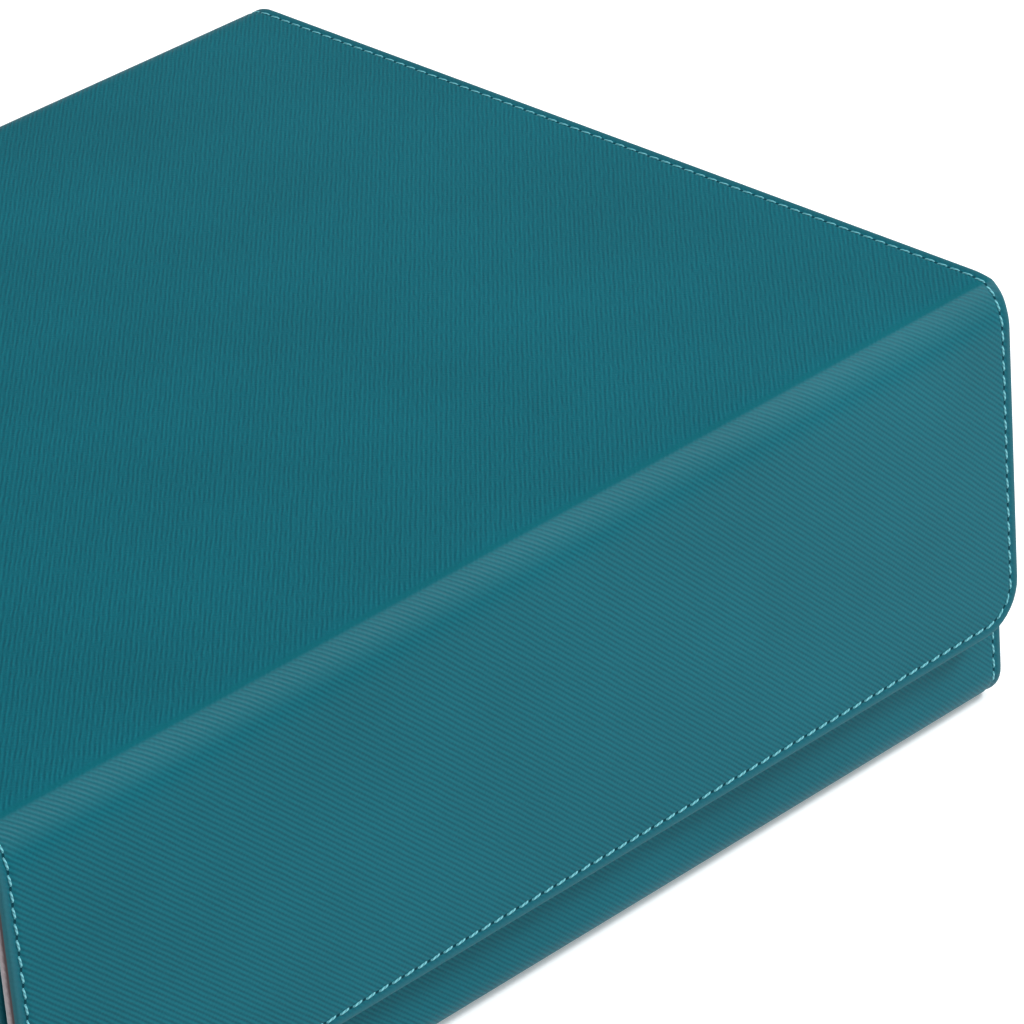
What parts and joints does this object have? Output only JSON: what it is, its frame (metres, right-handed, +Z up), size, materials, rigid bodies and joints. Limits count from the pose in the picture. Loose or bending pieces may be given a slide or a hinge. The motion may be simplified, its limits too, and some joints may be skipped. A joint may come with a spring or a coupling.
{
  "type": "card deck box",
  "caption": "Leather-covered box for standing cards: lined rows with sliding dividers, a lid hinged along the back and a front flap held by magnets.",
  "frame": {"origin": "centre of the footprint, on the surface that the box stands on", "axes": "+X along the card rows, +Y from the flap to the hinged back, +Z up"},
  "size_m": [0.268, 0.23, 0.1],
  "materials": {
    "cover_leather": "twill-embossed, satin",
    "microfibre": "short soft nap",
    "grey_board": "matt, cut edges",
    "magnet_metal": "bright nickel plate",
    "keeper_steel": "stamped, plain",
    "divider_plastic": "fine matt texture",
    "stitching": "bonded polyester thread"
  },
  "bodies": {
    "base": {"base_front_skin": "cover_leather", "base_back_skin": "cover_leather", "base_bottom_skin": "cover_leather", "left_end_skin": "cover_leather", "right_end_skin": "cover_leather", "bottom_board": "grey_board", "front_board": "grey_board", "back_board": "grey_board", "left_board": "grey_board", "right_board": "grey_board", "tray_lining": "microfibre", "front_partition_board": "grey_board", "rear_partition_board": "grey_board", "front_partition_cover": "microfibre", "rear_partition_cover": "microfibre", "keeper_discs": "keeper_steel", "rear_fold": "cover_leather", "rear_fold_lining": "microfibre"},
    "lid": {"lid_skin": "cover_leather", "lid_board": "grey_board", "lid_lining": "microfibre", "front_fold": "cover_leather", "front_fold_lining": "microfibre"},
    "flap": {"flap_skin": "cover_leather", "flap_board": "grey_board", "flap_lining": "microfibre", "flap_magnets": "magnet_metal"},
    "front_divider": {"front_row_divider": "divider_plastic"},
    "middle_divider": {"middle_row_divider": "divider_plastic"},
    "rear_divider": {"rear_row_divider": "divider_plastic"}
  },
  "joints": [
    {"name": "lid_hinge", "type": "hinge", "parent": "base", "child": "lid", "pos_m": [0, 0.11144, 0.09644], "axis": [-1, 0, 0], "range_deg": [0, 175], "deforming": ["rear_fold", "rear_fold_lining"]},
    {"name": "flap_hinge", "type": "hinge", "parent": "lid", "child": "flap", "pos_m": [0, -0.11184, 0.09685], "axis": [-1, 0, 0], "range_deg": [0, 110], "deforming": ["front_fold", "front_fold_lining"]},
    {"name": "front_divider_slide", "type": "slide", "parent": "base", "child": "front_divider", "axis": [1, 0, 0], "range_m": [-0.2496, 0.0055]},
    {"name": "middle_divider_slide", "type": "slide", "parent": "base", "child": "middle_divider", "axis": [1, 0, 0], "range_m": [-0.2496, 0.0055]},
    {"name": "rear_divider_slide", "type": "slide", "parent": "base", "child": "rear_divider", "axis": [1, 0, 0], "range_m": [-0.2496, 0.0055]}
  ]
}
